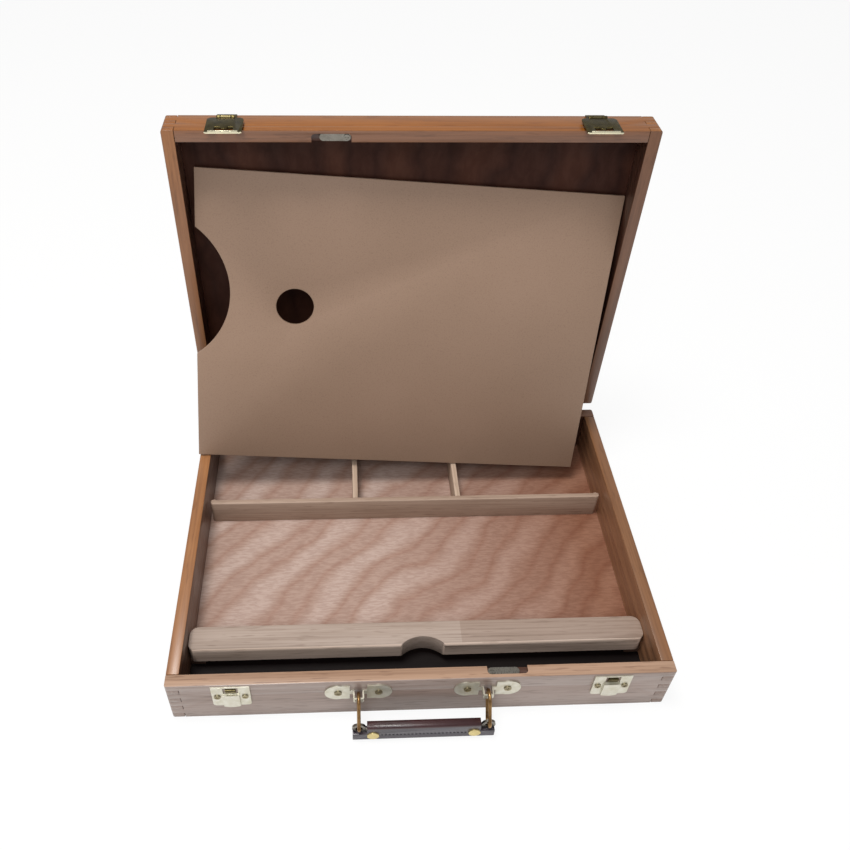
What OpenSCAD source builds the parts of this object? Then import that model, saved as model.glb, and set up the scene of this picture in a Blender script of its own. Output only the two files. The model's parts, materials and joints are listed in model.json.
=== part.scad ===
// Wooden sketch box with a hinged lid, a loose palette and a carrying handle.
// The box stands on its base with the lid open at a right angle.
// Origin: centre of the base's bottom face. X to the right, Y to the back, Z up.

/* [Case] */
// Outside width of the case
case_w = 400; // [360:5:440]
// Outside depth of the case
case_d = 300; // [280:5:320]
// Height of the base tray
base_h = 48; // [46:0.5:54]
// Height of the lid
lid_h = 27; // [26:0.5:34]
// Thickness of the case walls
wall = 10; // [9.5:0.5:12]
// Radius of the four upright corners
corner_r = 2; // [1:0.5:4]
// Width of one finger of the corner joints
finger_w = 6; // [5:0.5:8]
// Thickness of the plywood floor and lid panel
ply = 4; // [3:0.5:5]
// Depth of the rebate that holds the plywood
rebate = 5; // [4:0.5:6]
// Angle that the lid is open by, where the hinges stop
lid_open = 90; // [80:1:95]

/* [Inside the tray] */
// Height of the partition, dividers and front bar above the table
rest_z = 30; // [28:0.5:32]
// Thickness of the partition and dividers
batten_t = 5; // [4:0.5:6]
// Depth of the three rear compartments
rear_d = 89; // [80:1:95]
// Distance of each divider's middle from the box's middle
divider_x = 49.5; // [40:0.5:60]
// Gap between each end of the partition and the side wall
partition_gap = 2.5; // [1:0.5:4]
// Radius of the partition's rounded front corners
partition_r = 3; // [1:0.5:4]
// Depth of the front bar, front to back
bar_d = 22; // [18:1:26]
// Height of the front bar
bar_h = 19; // [16:0.5:20]
// Clear space between the front wall and the front bar
bar_front_gap = 31; // [26:1:36]
// Radius of the bar's corners, seen from above
bar_corner_r = 7; // [4:0.5:9]
// Radius of the bar's long front edges
bar_edge_r = 3; // [1.5:0.5:5]
// Width of the finger notch in the bar
notch_w = 37; // [30:1:44]
// Depth of the finger notch in the bar
notch_d = 8; // [6:0.5:10]
// Place of the notch, right of the box's middle
notch_x = 3.5; // [0:0.5:10]
// Width of each block under the bar
block_w = 12; // [8:1:16]
// Depth of each block under the bar
block_d = 12; // [8:1:14]

/* [Palette] */
// How much narrower the palette is than the inside of the case
palette_play_w = 8; // [7:0.5:40]
// How much lower the palette is than the depth inside the case
palette_play_h = 6; // [5:0.5:30]
// Thickness of the palette
palette_t = 3; // [2.5:0.5:4]
// Diameter of the thumb hole
thumb_d = 34; // [28:1:40]
// Place of the thumb hole from the left edge
thumb_x = 88; // [80:1:100]
// Place of the thumb hole from the bottom edge
thumb_y = 156; // [140:1:165]
// Height of the crescent cut in the left edge
crescent_h = 118; // [90:1:130]
// Depth of the crescent
crescent_d = 30; // [22:1:32]
// Height of the crescent's middle above the bottom edge
crescent_y = 165; // [150:1:175]
// Turn of the leaning palette about the upright
palette_yaw = 1.3; // [0:0.1:2]
// Distance that the palette's foot stands in front of the hinge axis
palette_foot = 62; // [58:0.5:66]

/* [Hinges] */
// Distance of each hinge's middle from the case's end
hinge_inset = 80; // [50:5:100]
// Length of a hinge
hinge_len = 44; // [36:2:50]
// Height of one hinge leaf
hinge_leaf_h = 18; // [15:0.5:19]
// Thickness of a hinge leaf
hinge_t = 1.2; // [1:0.1:1.5]
// Radius of the hinge barrel
barrel_r = 3.2; // [2.8:0.1:3.6]
// Radius of the hinge pin
hinge_pin_r = 1.5; // [1.2:0.1:1.8]

/* [Latches] */
// Distance of each latch's middle from the case's end
latch_inset = 50; // [40:1:60]
// Width of a catch plate on the base
catch_w = 30; // [28:0.5:34]
// Height of a catch plate
catch_h = 27; // [25:0.5:29]
// Distance of the catch plate's top below the rim
catch_drop = 2; // [1:0.5:3]
// Thickness of the pressed latch plates
latch_t = 1; // [0.8:0.1:1.2]
// Width of the raised housing on the catch plate
housing_w = 13; // [11:0.5:14]
// Width of a hasp flap
flap_w = 29; // [26:0.5:32]
// Reach of the hasp flap past the lid's rim
flap_reach = 11.8; // [11:0.1:12.4]
// Length of the hasp flap above the lid's rim
flap_up = 16.9; // [15:0.1:18]
// Distance of the hasp flap from the wall behind it
flap_stand = 2.6; // [2.4:0.1:3]

/* [Turn buttons] */
// Length of the recess in the rim
recess_len = 32; // [30:0.5:36]
// Width of the recess, open to the inside
recess_w = 7; // [6.5:0.5:8]
// Depth of the recess
recess_depth = 3; // [2.8:0.1:4]
// Place of the base's recess, right of the middle
base_button_x = 66.3; // [60:0.1:80]
// Place of the lid's recess, left of the middle
lid_button_x = 66.3; // [60:0.1:80]
// Length of a turn button
button_len = 25; // [20:0.5:26]

/* [Handle] */
// Distance of each handle plate from the middle
handle_x = 51; // [45:0.5:56]
// Height of the handle plates' middle above the table
handle_z = 33; // [32:0.5:34]
// Length of a handle plate
staple_w = 53; // [48:0.5:58]
// Height of a handle plate's lobes
staple_h = 20; // [17:0.5:21]
// Distance of the bridge's middle from the front wall
bridge_out = 7.4; // [7:0.1:8]
// Radius of the ring wire
wire_r = 1.4; // [1.2:0.05:1.5]
// Distance from the middle of the bridge to the ring's lower bar
ring_reach = 22.5; // [22:0.1:23]
// Distance of each leg from the ring's middle
ring_half_w = 6; // [5.9:0.1:6.5]
// Angle of the resting rings from the upright
ring_tilt = 37; // [35:0.5:38]
// Length of the leather grip
grip_len = 112; // [110:1:124]
// Height of the grip as it stands on edge
grip_h = 20; // [19:0.5:22]
// Thickness of the grip
grip_t = 7; // [6:0.5:9]
// Distance of each rivet from the middle
rivet_x = 40; // [34:0.5:42]

/* [Hidden] */

$fn = 64;
// A little more than nothing, so that cuts run clear past a face
eps = 0.5;
// Gap between the closed lid's rim and the base's rim
rim_gap = 0.3;
// Gap left where one loose piece stands against another
touch = 0.3;
// Gap round the plywood in its rebate
ply_gap = 0.1;
// Radial play of a screw's shank in its hole
screw_play = 0.05;
// Radial play of a pin in its barrel
pin_play = 0.05;
// Gap between two hinge knuckles
knuckle_gap = 0.3;

// The case
in_x = case_w / 2 - wall;
in_y = case_d / 2 - wall;
front_y = -case_d / 2;
back_y = case_d / 2;
axis_y = back_y + hinge_t + barrel_r;
axis_z = base_h + rim_gap / 2;
lid_z = base_h + rim_gap;

// Inside the tray
partition_y = in_y - rear_d - batten_t;
bar_y = front_y + wall + bar_front_gap;
bar_z = rest_z - bar_h;

// Screws: head radius, head height, shank radius, shank length
screw_head_r = 3;
screw_head_h = 0.9;
screw_r = 1.25;
screw_len = 7;
recess_arm = 4.2;
recess_slot = 1;
recess_cut = 0.5;
small_head_r = 2.2;
small_head_h = 0.7;
small_screw_r = 0.9;

// Hinges
hinge_x = case_w / 2 - hinge_inset;
knuckle_mid = hinge_len / 3;
knuckle_end = (hinge_len - knuckle_mid) / 2 - knuckle_gap;
hinge_screws = [[-hinge_len / 2 + 6, 0.62], [0, 0.72], [hinge_len / 2 - 6, 0.62]];
stop_t = 2.6;

// Latches
latch_x = case_w / 2 - latch_inset;
catch_top = base_h - catch_drop;
hook_h = catch_h / 3;
hook_w = 8;
hook_r = 1.2;
lip_z = catch_top - hook_h - 1;
housing_bow_r = 15;
housing_bow = 0.8;
flap_bottom = lid_z - flap_reach;
flap_axis_z = lid_z + flap_up;
flap_axis_y = front_y - flap_stand - latch_t / 2;
flap_barrel_r = 1.6;
flap_pin_r = 0.7;
flap_barrel_w = 15;
flap_window_w = 15;
flap_window_h = 8.4;
flap_bar = 2.3;
hasp_w = 16;
hasp_screw_x = 4.6;
hasp_screw_z = 7;

// Turn buttons
button_w = recess_w - 0.5;
button_t = 1;
button_float = 0.2;
button_end = 3.6;
recess_end_r = 3;

// Handle
lobe_r = staple_h / 2;
staple_t = 1;
bridge_t = 1.2;
bridge_h = 5;
bridge_in = 6.2;
staple_screw_x = 16;
ring_top = bridge_h / 2 + touch + wire_r + 0.4;
ring_corner_r = 2.2;
pivot_y = front_y - bridge_out;
grip_y = pivot_y - ring_reach * sin(ring_tilt);
eye_z = handle_z - ring_reach * cos(ring_tilt);
grip_z = 0.3;
core_t = 2;
core_h = 8;
eye_r = 5.4;
eye_hole_r = 3;
eye_notch = eye_r + 1;
notch_drop = grip_t / 2 * tan(ring_tilt) + wire_r / cos(ring_tilt) + touch;
grip_r = 2.4;
rivet_r = 4.7;
rivet_h = 0.9;
rivet_pin_r = 1.6;
rivet_z = 8.6;

// The leaning palette: its bottom edge lies on the left rim and on the right divider,
// and its top edge leans on the inside of the lid's panel
palette_w = 2 * in_x - palette_play_w;
palette_h = 2 * in_y - palette_play_h;
lean_gap = 0.6;
side_gap = 0.591;
rim_point_x = -in_x;
rest_point_x = divider_x + batten_t / 2;
lean_slope = (base_h - rest_z) / (rest_point_x - rim_point_x);
panel_face_y = axis_y + (lid_z + lid_h - ply - axis_z);
palette_foot_y = axis_y - palette_foot;
palette_tilt = asin((panel_face_y - lean_gap - palette_t - palette_foot_y) / palette_h);
palette_roll = atan(lean_slope / cos(palette_tilt));
palette_reach = (palette_w * cos(palette_roll) + palette_h * sin(palette_roll)) * cos(palette_yaw)
    - (palette_h * cos(palette_roll) - palette_w * sin(palette_roll)) * sin(palette_tilt) * sin(palette_yaw);
palette_x = in_x - side_gap - palette_reach;
palette_over = rim_point_x - palette_x;
palette_z = base_h + palette_over * lean_slope + lean_gap + palette_t * sin(palette_tilt);

// Colours
oak = "#a9784e";
oak_dark = "#8a5c3a";
plywood = "#b08c78";
lid_ply = "#4a2c22";
pale_wood = "#a8998a";
hardboard = "#8f7462";
brass = "#c9b27a";
brass_dark = "#6f5f38";
steel = "#8c8c88";
leather = "#43222a";

// A board edge shared by all trays: bands of the corner joint, counted from the rim at z = 0.
// first = 0 gives the bands next to the rim, first = 1 the ones between them.
module finger_bands(h, first) {
    for (k = [first : 2 : ceil(h / finger_w) - 1])
        translate([-eps, -eps, k * finger_w])
            cube([wall + 2 * eps, wall + 2 * eps, min(finger_w, h - k * finger_w)]);
}

// The four corner bands of one tray
module corner_bands(h, first) {
    for (sx = [0, 1], sy = [0, 1])
        mirror([sx, 0, 0]) mirror([0, sy, 0])
            translate([-case_w / 2, front_y, 0]) finger_bands(h, first);
}

// The outside of a tray, with rounded upright corners
module tray_envelope(h) {
    linear_extrude(h) {
        square([case_w - 2 * corner_r, case_d], center = true);
        square([case_w, case_d - 2 * corner_r], center = true);
        for (sx = [-1, 1], sy = [-1, 1])
            translate([sx * (case_w / 2 - corner_r), sy * (case_d / 2 - corner_r)]) circle(corner_r);
    }
}

// The plywood panel of a tray, lying in its rebate at the side away from the rim
module tray_panel(h, gap) {
    w = case_w - 2 * (wall - rebate) - 2 * gap;
    d = case_d - 2 * (wall - rebate) - 2 * gap;
    translate([-w / 2, -d / 2, h - ply]) cube([w, d, ply]);
}

// The room that the rebate takes from the boards
module tray_rebate(h) {
    w = case_w - 2 * (wall - rebate);
    d = case_d - 2 * (wall - rebate);
    translate([-w / 2, -d / 2, h - ply]) cube([w, d, ply + eps]);
}

// The long board at the front of a tray. owns tells which finger bands it carries.
module long_board(h, owns) {
    difference() {
        intersection() {
            translate([-case_w / 2, front_y, 0]) cube([case_w, wall, h]);
            tray_envelope(h);
        }
        corner_bands(h, 1 - owns);
        tray_rebate(h);
    }
}

// The short board at the left of a tray
module short_board(h, owns) {
    difference() {
        intersection() {
            translate([-case_w / 2, front_y, 0]) cube([wall, case_d, h]);
            tray_envelope(h);
        }
        corner_bands(h, 1 - owns);
        tray_rebate(h);
    }
}

// Places what is drawn from the rim up as the base, whose rim is at the top
module as_base() {
    translate([0, 0, base_h]) mirror([0, 0, 1]) children();
}

// Places what is drawn from the rim up as the lid, turned open about the hinge axis
module as_lid() {
    in_open_lid() translate([0, 0, lid_z]) children();
}

// Turns a piece that is drawn on the closed lid to its open place
module in_open_lid() {
    translate([0, axis_y, axis_z]) rotate([-lid_open, 0, 0]) translate([0, -axis_y, -axis_z]) children();
}

// A screw along -Z, with its head standing on the plane z = 0 and a crossed recess
module screw(head_r, head_h, r, len) {
    difference() {
        union() {
            cylinder(h = head_h, r = head_r);
            translate([0, 0, -len]) cylinder(h = len + head_h / 2, r = r);
        }
        translate([0, 0, head_h])
            for (a = [0, 90]) rotate([0, 0, a])
                cube([recess_arm * head_r / screw_head_r, recess_slot, 2 * recess_cut], center = true);
    }
}

// The hole that such a screw needs, open at both ends
module screw_hole(r, len) {
    translate([0, 0, -len - screw_play]) cylinder(h = len + screw_play + eps, r = r + screw_play);
}

// Turns +Z to point out of the front wall
module out_of_front() {
    rotate([90, 0, 0]) children();
}

// Turns +Z to point out of the back wall
module out_of_back() {
    rotate([-90, 0, 0]) children();
}

// Recess for a turn button, in rim coordinates: z grows away from the rim
module button_recess(x) {
    y0 = front_y + wall - recess_w;
    translate([x - recess_len / 2, y0, -eps])
        linear_extrude(recess_depth + eps) {
            translate([0, recess_end_r]) square([recess_len, recess_w - recess_end_r + eps]);
            translate([recess_end_r, 0]) square([recess_len - 2 * recess_end_r, recess_w]);
            for (cx = [recess_end_r, recess_len - recess_end_r])
                translate([cx, recess_end_r]) circle(recess_end_r);
        }
}

// Distance of a turn button's screw from its recess' middle
function button_pivot_dx() = recess_len / 2 - button_end - 0.2;
function button_pivot_y() = front_y + wall - recess_w / 2;

// A turn button lying in its recess, pivot at x = px, pointing to +X (dir = 1) or -X
module turn_button(px, dir) {
    z0 = recess_depth - button_float - button_t;
    r = button_w / 2;
    translate([px, button_pivot_y(), z0])
        difference() {
            linear_extrude(button_t) {
                circle(r);
                translate([dir > 0 ? 0 : -(button_len - 2 * r), -r]) square([button_len - 2 * r, button_w]);
                translate([dir * (button_len - 2 * r), 0]) circle(r);
            }
            translate([0, 0, -eps]) cylinder(h = button_t + 2 * eps, r = screw_r + pin_play);
            // Thumb groove across the free end
            for (g = [0 : 2])
                translate([dir * (button_len - 3.4 * r + 1.6 * g) - 0.3, -button_w, -eps])
                    cube([0.6, 2 * button_w, eps + 0.3]);
        }
}

// The screw that holds a turn button, in rim coordinates
module turn_button_screw(px) {
    z0 = recess_depth - button_float - button_t;
    translate([px, button_pivot_y(), z0 - 0.05]) mirror([0, 0, 1])
        screw(small_head_r + 0.3, small_head_h, screw_r, screw_len);
}

module turn_button_screw_hole(px) {
    z0 = recess_depth - button_float - button_t;
    translate([px, button_pivot_y(), z0 - 0.05]) mirror([0, 0, 1]) screw_hole(screw_r, screw_len);
}

base_pivot_x = base_button_x - button_pivot_dx();
lid_pivot_x = -lid_button_x + button_pivot_dx();

// Base tray

module base_front_wall() {
    color(oak) difference() {
        as_base() difference() {
            long_board(base_h, 0);
            button_recess(base_button_x);
            turn_button_screw_hole(base_pivot_x);
        }
        for (s = [-1, 1]) {
            translate([s * handle_x, front_y - staple_t, handle_z])
                for (t = [-1, 1]) translate([t * staple_screw_x, 0, 0])
                    out_of_front() screw_hole(screw_r, screw_len);
            translate([s * latch_x, front_y - latch_t, catch_screw_z])
                for (t = [-1, 1]) translate([t * catch_screw_x, 0, 0])
                    out_of_front() screw_hole(screw_r, screw_len);
        }
    }
}

module base_back_wall() {
    color(oak_dark) difference() {
        as_base() mirror([0, 1, 0]) long_board(base_h, 0);
        for (s = [-1, 1]) translate([s * hinge_x, 0, 0]) base_leaf_holes();
    }
}

module base_left_wall() {
    color(oak) as_base() short_board(base_h, 1);
}

module base_right_wall() {
    color(oak_dark) as_base() mirror([1, 0, 0]) short_board(base_h, 1);
}

module base_floor() {
    color(plywood) as_base() tray_panel(base_h, ply_gap);
}

// Partition across the tray, with its front corners rounded off
module long_partition() {
    w = 2 * (in_x - partition_gap);
    color(pale_wood) translate([0, partition_y, ply]) linear_extrude(rest_z - ply) {
        translate([-w / 2, partition_r]) square([w, batten_t - partition_r]);
        translate([-w / 2 + partition_r, 0]) square([w - 2 * partition_r, batten_t]);
        for (s = [-1, 1]) translate([s * (w / 2 - partition_r), partition_r]) circle(partition_r);
    }
}

module divider(x) {
    color(pale_wood) translate([x - batten_t / 2, partition_y + batten_t, ply])
        cube([batten_t, rear_d, rest_z - ply]);
}

module divider_left() { divider(-divider_x); }
module divider_right() { divider(divider_x); }

// Front bar that carries the stowed palette: rounded ends, soft front edges, a finger notch
module front_bar() {
    w = 2 * (in_x - touch);
    r = bar_corner_r;
    notch_r = (notch_w * notch_w / 4 + notch_d * notch_d) / (2 * notch_d);
    color(pale_wood) difference() {
        intersection() {
            translate([0, bar_y, bar_z]) linear_extrude(bar_h) {
                translate([-w / 2, r]) square([w, bar_d - 2 * r]);
                translate([-w / 2 + r, 0]) square([w - 2 * r, bar_d]);
                for (sx = [-1, 1], cy = [r, bar_d - r])
                    translate([sx * (w / 2 - r), cy]) circle(r);
            }
            translate([-w / 2, bar_y, bar_z]) rotate([90, 0, 90]) linear_extrude(w) {
                translate([bar_edge_r, 0]) square([bar_d - bar_edge_r, bar_h]);
                translate([0, bar_edge_r]) square([bar_edge_r, bar_h - 2 * bar_edge_r]);
                for (cz = [bar_edge_r, bar_h - bar_edge_r]) translate([bar_edge_r, cz]) circle(bar_edge_r);
            }
        }
        translate([notch_x, bar_y + notch_d - notch_r, bar_z - eps])
            cylinder(h = bar_h + 2 * eps, r = notch_r, $fn = 128);
    }
}

// Two packing blocks glued on the floor under the bar's ends
module bar_blocks() {
    for (s = [0, 1]) color(pale_wood) mirror([s, 0, 0])
        translate([-in_x, bar_y + bar_d - bar_corner_r - block_d, ply]) cube([block_w, block_d, bar_z - ply]);
}

// Hinges, drawn with the box closed about the axis through axis_y, axis_z

// Flat leaf with its roll, standing on the back wall; up = 1 is the lid's leaf
module hinge_leaf(up) {
    s = up ? 1 : -1;
    z0 = up ? lid_z : axis_z - barrel_r;
    lens = up ? [knuckle_mid] : [knuckle_end, knuckle_end];
    starts = up ? [-knuckle_mid / 2] : [-hinge_len / 2, hinge_len / 2 - knuckle_end];
    difference() {
        union() {
            if (up)
                translate([-hinge_len / 2, back_y, axis_z + barrel_r]) cube([hinge_len, hinge_t, hinge_leaf_h]);
            else
                translate([-hinge_len / 2, back_y, axis_z - barrel_r - hinge_leaf_h])
                    cube([hinge_len, hinge_t, hinge_leaf_h]);
            for (i = [0 : len(lens) - 1]) translate([starts[i], 0, 0]) {
                translate([0, axis_y, axis_z]) rotate([0, 90, 0]) cylinder(h = lens[i], r = barrel_r);
                translate([0, back_y, up ? axis_z + 0.6 : axis_z - barrel_r])
                    cube([lens[i], hinge_t, barrel_r - 0.6]);
                translate([0, back_y, up ? axis_z + barrel_r - hinge_t : axis_z - barrel_r])
                    cube([lens[i], hinge_t + barrel_r, hinge_t]);
            }
        }
        translate([-hinge_len, axis_y, axis_z]) rotate([0, 90, 0])
            cylinder(h = 2 * hinge_len, r = hinge_pin_r + pin_play);
        for (p = hinge_screws)
            translate([p[0], back_y + hinge_t, axis_z + s * (barrel_r + p[1] * hinge_leaf_h)])
                out_of_back() screw_hole(screw_r, hinge_t);
    }
}

// Stop tab on the lid's knuckle: it meets the base leaf when the lid is fully open
module stop_tab() {
    rotate([lid_open, 0, 0])
        translate([-knuckle_mid / 2, -barrel_r + touch, -barrel_r - stop_t])
            cube([knuckle_mid, barrel_r - touch, stop_t + barrel_r - hinge_pin_r - 0.4]);
}

module base_leaf_holes() {
    for (p = hinge_screws)
        translate([p[0], back_y + hinge_t, axis_z - barrel_r - p[1] * hinge_leaf_h])
            out_of_back() screw_hole(screw_r, screw_len);
}

module lid_leaf_holes() {
    for (p = hinge_screws)
        translate([p[0], back_y + hinge_t, axis_z + barrel_r + p[1] * hinge_leaf_h])
            out_of_back() screw_hole(screw_r, screw_len);
}

module base_leaf_left() { color(brass) translate([-hinge_x, 0, 0]) hinge_leaf(false); }
module base_leaf_right() { color(brass) translate([hinge_x, 0, 0]) hinge_leaf(false); }

module lid_leaf(x) {
    color(brass) in_open_lid() translate([x, 0, 0]) difference() {
        union() {
            hinge_leaf(true);
            translate([0, axis_y, axis_z]) stop_tab();
        }
        translate([-hinge_len, axis_y, axis_z]) rotate([0, 90, 0])
            cylinder(h = 2 * hinge_len, r = hinge_pin_r + pin_play);
    }
}

module lid_leaf_left() { lid_leaf(-hinge_x); }
module lid_leaf_right() { lid_leaf(hinge_x); }

module hinge_pins() {
    for (s = [-1, 1]) color(brass_dark)
        translate([s * hinge_x - hinge_len / 2, axis_y, axis_z])
            rotate([0, 90, 0]) cylinder(h = hinge_len, r = hinge_pin_r);
}

module base_leaf_screws() {
    for (s = [-1, 1], p = hinge_screws) color(brass)
        translate([s * hinge_x + p[0], back_y + hinge_t, axis_z - barrel_r - p[1] * hinge_leaf_h])
            out_of_back() screw(small_head_r, small_head_h, screw_r, screw_len);
}

module lid_leaf_screws() {
    in_open_lid() for (s = [-1, 1], p = hinge_screws) color(brass)
        translate([s * hinge_x + p[0], back_y + hinge_t, axis_z + barrel_r + p[1] * hinge_leaf_h])
            out_of_back() screw(small_head_r, small_head_h, screw_r, screw_len);
}

// Lid

module lid_front_wall() {
    color(oak) in_open_lid() difference() {
        translate([0, 0, lid_z]) difference() {
            long_board(lid_h, 1);
            button_recess(-lid_button_x);
            turn_button_screw_hole(lid_pivot_x);
        }
        for (s = [-1, 1], t = [-1, 1])
            translate([s * latch_x + t * hasp_screw_x, front_y - latch_t, lid_z + hasp_screw_z])
                out_of_front() screw_hole(small_screw_r, screw_len);
    }
}

module lid_back_wall() {
    color(oak_dark) in_open_lid() difference() {
        translate([0, 0, lid_z]) mirror([0, 1, 0]) long_board(lid_h, 1);
        for (s = [-1, 1]) translate([s * hinge_x, 0, 0]) lid_leaf_holes();
    }
}

module lid_left_wall() {
    color(oak) as_lid() short_board(lid_h, 0);
}

module lid_right_wall() {
    color(oak_dark) as_lid() mirror([1, 0, 0]) short_board(lid_h, 0);
}

module lid_panel() {
    color(lid_ply) as_lid() tray_panel(lid_h, ply_gap);
}

// Turn buttons

module base_button() { color(steel) as_base() turn_button(base_pivot_x, 1); }
module base_button_screw() { color(steel) as_base() turn_button_screw(base_pivot_x); }
module lid_button() { color(steel) as_lid() turn_button(lid_pivot_x, -1); }
module lid_button_screw() { color(steel) as_lid() turn_button_screw(lid_pivot_x); }

// Latches: a catch plate on the base, a hasp plate with a hinged flap on the lid

catch_screw_x = 10.8;
catch_screw_z = catch_top - catch_h * 0.5;

// Front view of the catch plate: square top, rounded lower corners
module catch_outline() {
    r = 3;
    translate([-catch_w / 2, r]) square([catch_w, catch_h - r]);
    translate([-catch_w / 2 + r, 0]) square([catch_w - 2 * r, catch_h]);
    for (s = [-1, 1]) translate([s * (catch_w / 2 - r), r]) circle(r);
}

// Raised housing, a wedge that rises towards its upper lip, with a bowed lower edge
module catch_housing() {
    low = 1.4;
    high = 1.7;
    h = lip_z - (catch_top - catch_h);
    intersection() {
        translate([-housing_w / 2, 0, 0]) rotate([90, 0, 90]) linear_extrude(housing_w)
            polygon([[0, -1], [-low, -1], [-low - 0.4, h * 0.55], [-high, h], [0, h]]);
        translate([0, 1, 0]) rotate([90, 0, 0]) linear_extrude(6) {
            translate([-housing_w / 2, 0.6]) square([housing_w, h]);
            intersection() {
                translate([0, housing_bow_r - housing_bow]) circle(housing_bow_r);
                translate([-housing_w / 2, -1]) square([housing_w, h]);
            }
        }
    }
}

module catch_plate(x) {
    color(brass) translate([x, front_y, catch_top - catch_h]) difference() {
        union() {
            rotate([90, 0, 0]) linear_extrude(latch_t) catch_outline();
            translate([0, -latch_t, 0]) catch_housing();
        }
        // Window that the hook shows through
        translate([-housing_w / 2 + 0.6, -latch_t - eps, catch_h - hook_h])
            cube([housing_w - 1.2, latch_t + 2 * eps, hook_h - 1.2]);
        for (t = [-1, 1])
            translate([t * catch_screw_x, -latch_t, catch_screw_z - catch_top + catch_h])
                out_of_front() screw_hole(screw_r, latch_t);
    }
}

// Spring hook behind the window: a strip with a rounded nose
module catch_hook(x) {
    z0 = catch_top - hook_h;
    color(brass_dark) translate([x, front_y, z0]) {
        translate([-hook_w / 2, -0.9, 0.3]) cube([hook_w, 0.9, hook_h - 1.8]);
        translate([-hook_w / 2, -0.9, hook_h * 0.5]) rotate([0, 90, 0]) cylinder(h = hook_w, r = hook_r);
    }
}

module catch_plate_left() { catch_plate(-latch_x); }
module catch_plate_right() { catch_plate(latch_x); }

module hook_trim(x) {
    intersection() {
        catch_hook(x);
        translate([x - hook_w, front_y - hook_w, 0]) cube([2 * hook_w, hook_w, base_h]);
    }
}

module catch_hook_left() { hook_trim(-latch_x); }
module catch_hook_right() { hook_trim(latch_x); }

module catch_screws() {
    for (s = [-1, 1], t = [-1, 1]) color(brass)
        translate([s * latch_x + t * catch_screw_x, front_y - latch_t, catch_screw_z])
            out_of_front() screw(screw_head_r - 0.4, screw_head_h, screw_r, screw_len);
}

// Fixed hasp plate on the lid's front, with the middle knuckle of the flap's hinge
module hasp_plate(x) {
    z0 = lid_z + 2;
    mid = flap_barrel_w / 2;
    color(brass_dark) in_open_lid() translate([x, 0, 0]) difference() {
        union() {
            translate([-hasp_w / 2, front_y - latch_t, z0]) cube([hasp_w, latch_t, lid_z + lid_h - z0 - 0.4]);
            translate([-mid / 2, flap_axis_y, flap_axis_z]) rotate([0, 90, 0]) cylinder(h = mid, r = flap_barrel_r);
            translate([-mid / 2, flap_axis_y, flap_axis_z + flap_pin_r + 0.1])
                cube([mid, front_y - flap_axis_y - latch_t / 2, flap_barrel_r - flap_pin_r - 0.1]);
        }
        translate([-flap_w, flap_axis_y, flap_axis_z]) rotate([0, 90, 0])
            cylinder(h = 2 * flap_w, r = flap_pin_r + pin_play);
        for (t = [-1, 1])
            translate([t * hasp_screw_x, front_y - latch_t, lid_z + hasp_screw_z])
                out_of_front() screw_hole(small_screw_r, latch_t);
    }
}

module hasp_plate_left() { hasp_plate(-latch_x); }
module hasp_plate_right() { hasp_plate(latch_x); }

module hasp_screws() {
    in_open_lid() for (s = [-1, 1], t = [-1, 1]) color(brass_dark)
        translate([s * latch_x + t * hasp_screw_x, front_y - latch_t, lid_z + hasp_screw_z])
            out_of_front() screw(small_head_r - 0.4, small_head_h, small_screw_r, screw_len);
}

module hasp_pins() {
    in_open_lid() for (s = [-1, 1]) color(brass_dark)
        translate([s * latch_x - flap_barrel_w / 2, flap_axis_y, flap_axis_z])
            rotate([0, 90, 0]) cylinder(h = flap_barrel_w, r = flap_pin_r);
}

// Hinged flap: rounded upper corners, a window with a half-round tongue, a bent lower lip
module hasp_flap(x) {
    top = flap_axis_z - flap_barrel_r - 0.2;
    h = top - flap_bottom;
    r = 4;
    end_w = (flap_barrel_w - flap_barrel_w / 2) / 2 - knuckle_gap;
    color(brass_dark) in_open_lid() translate([x, 0, 0]) difference() {
        union() {
            translate([0, flap_axis_y + latch_t / 2, flap_bottom]) rotate([90, 0, 0]) linear_extrude(latch_t)
                difference() {
                    union() {
                        translate([-flap_w / 2, 0.8]) square([flap_w, h - r - 0.8]);
                        translate([-flap_w / 2 + 0.8, 0]) square([flap_w - 1.6, h - r]);
                        translate([-flap_w / 2 + r, h - r - eps]) square([flap_w - 2 * r, r + eps]);
                        for (s = [-1, 1]) translate([s * (flap_w / 2 - r), h - r]) circle(r);
                    }
                    difference() {
                        translate([-flap_window_w / 2, flap_bar]) square([flap_window_w, flap_window_h]);
                        translate([0, flap_bar + flap_window_h]) circle(3);
                    }
                }
            translate([-flap_w / 2 + 3, flap_axis_y - latch_t / 2 - 1.4, flap_bottom])
                cube([flap_w - 6, 1.4 + latch_t / 2, 0.9]);
            for (s = [-1, 1]) translate([s > 0 ? flap_barrel_w / 2 - end_w : -flap_barrel_w / 2, 0, 0]) {
                translate([0, flap_axis_y, flap_axis_z]) rotate([0, 90, 0]) cylinder(h = end_w, r = flap_barrel_r);
                translate([0, flap_axis_y - latch_t / 2, top - eps])
                    cube([end_w, latch_t, flap_barrel_r + eps]);
            }
        }
        translate([-flap_w, flap_axis_y, flap_axis_z]) rotate([0, 90, 0])
            cylinder(h = 2 * flap_w, r = flap_pin_r + pin_play);
    }
}

module hasp_flap_left() { hasp_flap(-latch_x); }
module hasp_flap_right() { hasp_flap(latch_x); }

// Handle

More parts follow.
